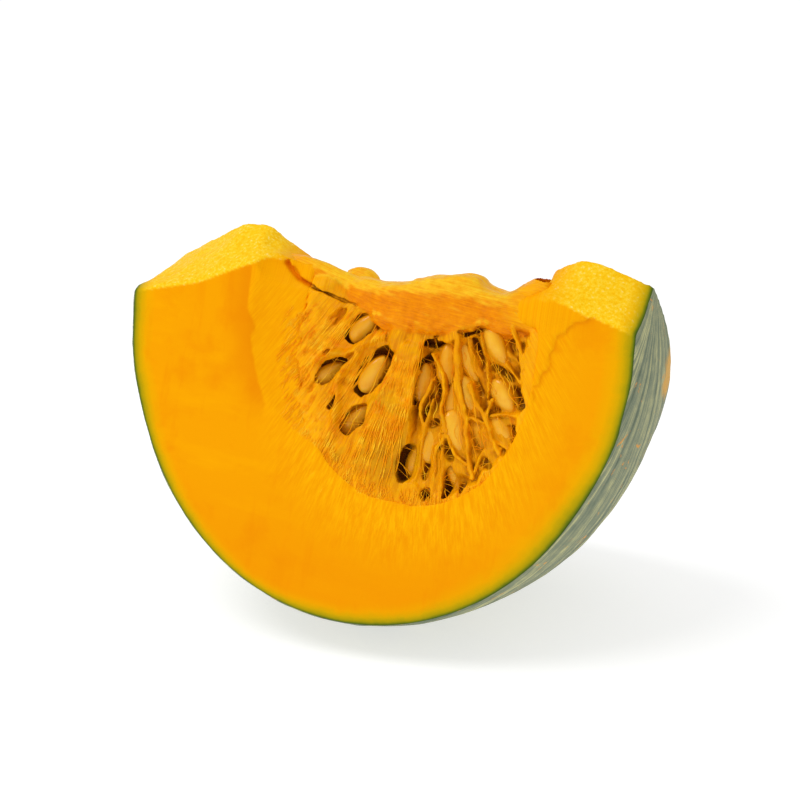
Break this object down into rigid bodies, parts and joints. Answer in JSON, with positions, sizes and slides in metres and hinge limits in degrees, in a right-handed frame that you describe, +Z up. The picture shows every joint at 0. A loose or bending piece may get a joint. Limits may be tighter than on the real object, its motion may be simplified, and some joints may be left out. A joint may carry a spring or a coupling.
{
  "type": "pumpkin wedge",
  "caption": "Wedge of green-skinned pumpkin cut from pole to pole, lying on its rind, with orange flesh and a hollow full of stringy pulp and seeds.",
  "frame": {"origin": "middle of the bounding box's underside, on the ground", "axes": "+X along the squash's axis towards its right end as the front cut is seen, -Y out of the front cut, +Z up"},
  "size_m": [0.2142, 0.1346, 0.1596],
  "materials": {
    "flesh": "moist, fine grained",
    "rind": "dull, waxy",
    "pulp": "wet, stringy",
    "seed": "wet, smooth"
  },
  "bodies": {
    "root": {"wall": "flesh", "pulp": "pulp"}
  },
  "joints": []
}
